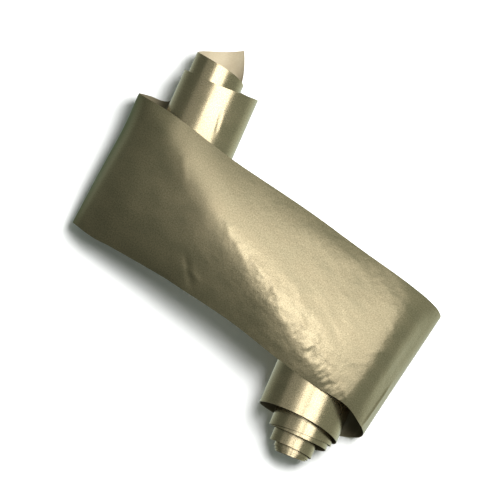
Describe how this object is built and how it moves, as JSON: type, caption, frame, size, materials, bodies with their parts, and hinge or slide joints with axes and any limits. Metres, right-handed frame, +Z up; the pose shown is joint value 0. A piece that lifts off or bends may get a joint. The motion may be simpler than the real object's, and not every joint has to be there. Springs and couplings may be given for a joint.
{
  "type": "roll of sign vinyl",
  "caption": "Loose length of metallic sign vinyl on its release liner, scrolled inwards at both ends under a broad skewed band, with telescoped turns.",
  "frame": {"origin": "middle of the whole object's box, on the surface that it lies on", "axes": "+Y along both rolls, towards the end that the upper roll sticks out of; +X from the upper roll to the lower roll; +Z up"},
  "size_m": [0.8088, 0.7762, 0.198],
  "materials": {
    "film": "champagne gold metallic vinyl film with fine flake, glossy",
    "liner": "tan coated paper release liner, satin"
  },
  "bodies": {
    "root": {"right_fold_lower_film": "film", "right_fold_lower_liner": "liner", "lower_under_run_film": "film", "lower_under_run_liner": "liner", "lower_outer_turn_film": "film", "lower_outer_turn_liner": "liner"},
    "band": {"upper_outer_turn_film": "film", "upper_outer_turn_liner": "liner", "upper_under_run_film": "film", "upper_under_run_liner": "liner", "left_fold_film": "film", "left_fold_liner": "liner", "band_film": "film", "band_liner": "liner", "right_fold_upper_film": "film", "right_fold_upper_liner": "liner"},
    "upper_inner_turn": {"upper_inner_turn_film": "film", "upper_inner_turn_liner": "liner"},
    "upper_tail": {"upper_tail_film": "film", "upper_tail_liner": "liner"},
    "lower_second_turns": {"lower_second_turns_film": "film", "lower_second_turns_liner": "liner"},
    "lower_third_turn": {"lower_third_turn_film": "film", "lower_third_turn_liner": "liner"},
    "lower_core_turns": {"lower_core_turns_film": "film", "lower_core_turns_liner": "liner"}
  },
  "joints": [
    {"name": "right_fold_opening", "type": "hinge", "parent": "root", "child": "band", "pos_m": [0.37701, -0.13538, 0.0685], "axis": [0.1799, 0.9827, -0.0433], "range_deg": [0, 20]},
    {"name": "upper_inner_turn_slide", "type": "slide", "parent": "band", "child": "upper_inner_turn", "axis": [0, 1, 0], "range_m": [-0.03, 0.06]},
    {"name": "upper_tail_curl", "type": "hinge", "parent": "upper_inner_turn", "child": "upper_tail", "pos_m": [-0.24599, -0.01287, 0.067], "axis": [0, -1, 0], "range_deg": [0, 12]},
    {"name": "lower_second_turns_slide", "type": "slide", "parent": "root", "child": "lower_second_turns", "axis": [0, -1, 0], "range_m": [-0.01, 0.05]},
    {"name": "lower_third_turn_slide", "type": "slide", "parent": "lower_second_turns", "child": "lower_third_turn", "axis": [0, -1, 0], "range_m": [-0.02, 0.04]},
    {"name": "lower_core_turns_tighten", "type": "hinge", "parent": "lower_third_turn", "child": "lower_core_turns", "pos_m": [0.22501, -0.01287, 0.056], "axis": [0, 1, 0], "range_deg": [0, 30]}
  ],
  "couplings": [
    {"joint": "lower_third_turn_slide", "follows": "lower_second_turns_slide", "ratio": 0.8}
  ]
}
